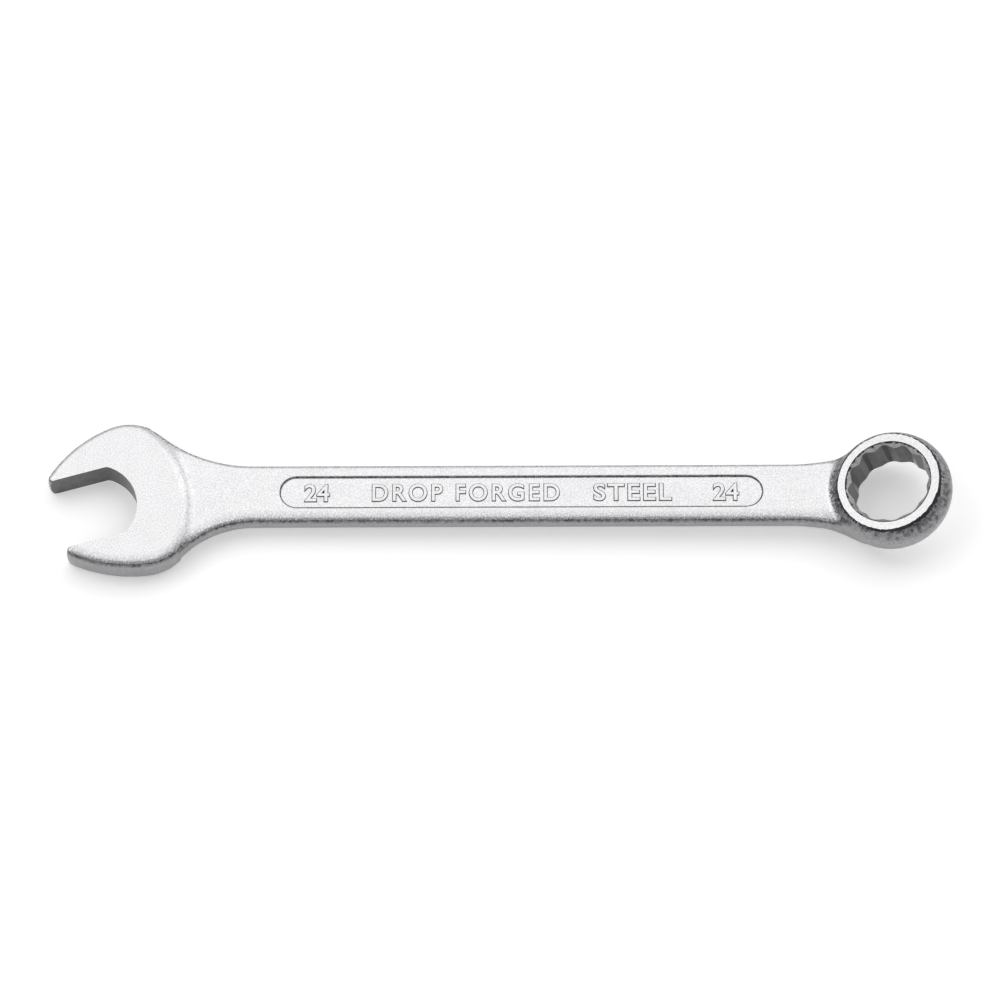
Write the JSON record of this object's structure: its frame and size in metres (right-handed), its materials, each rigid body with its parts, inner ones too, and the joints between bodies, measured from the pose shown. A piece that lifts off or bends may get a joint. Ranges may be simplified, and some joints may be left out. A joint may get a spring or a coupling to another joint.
{
  "type": "combination wrench",
  "caption": "Forged combination wrench: open jaw at one end set at an angle, tilted twelve-point ring at the other, flat shank between with a sunk panel.",
  "frame": {"origin": "bottom centre of the bounding box, level with the ring's lowest edge", "axes": "+X along the shank from the open jaw to the ring, +Z out of the numbered face, +Y across the shank towards the upper jaw"},
  "size_m": [0.2954, 0.0504, 0.0235],
  "materials": {
    "satin_chrome": "satin chrome plate over drop-forged steel"
  },
  "bodies": {
    "root": {"wrench": "satin_chrome"}
  },
  "joints": []
}
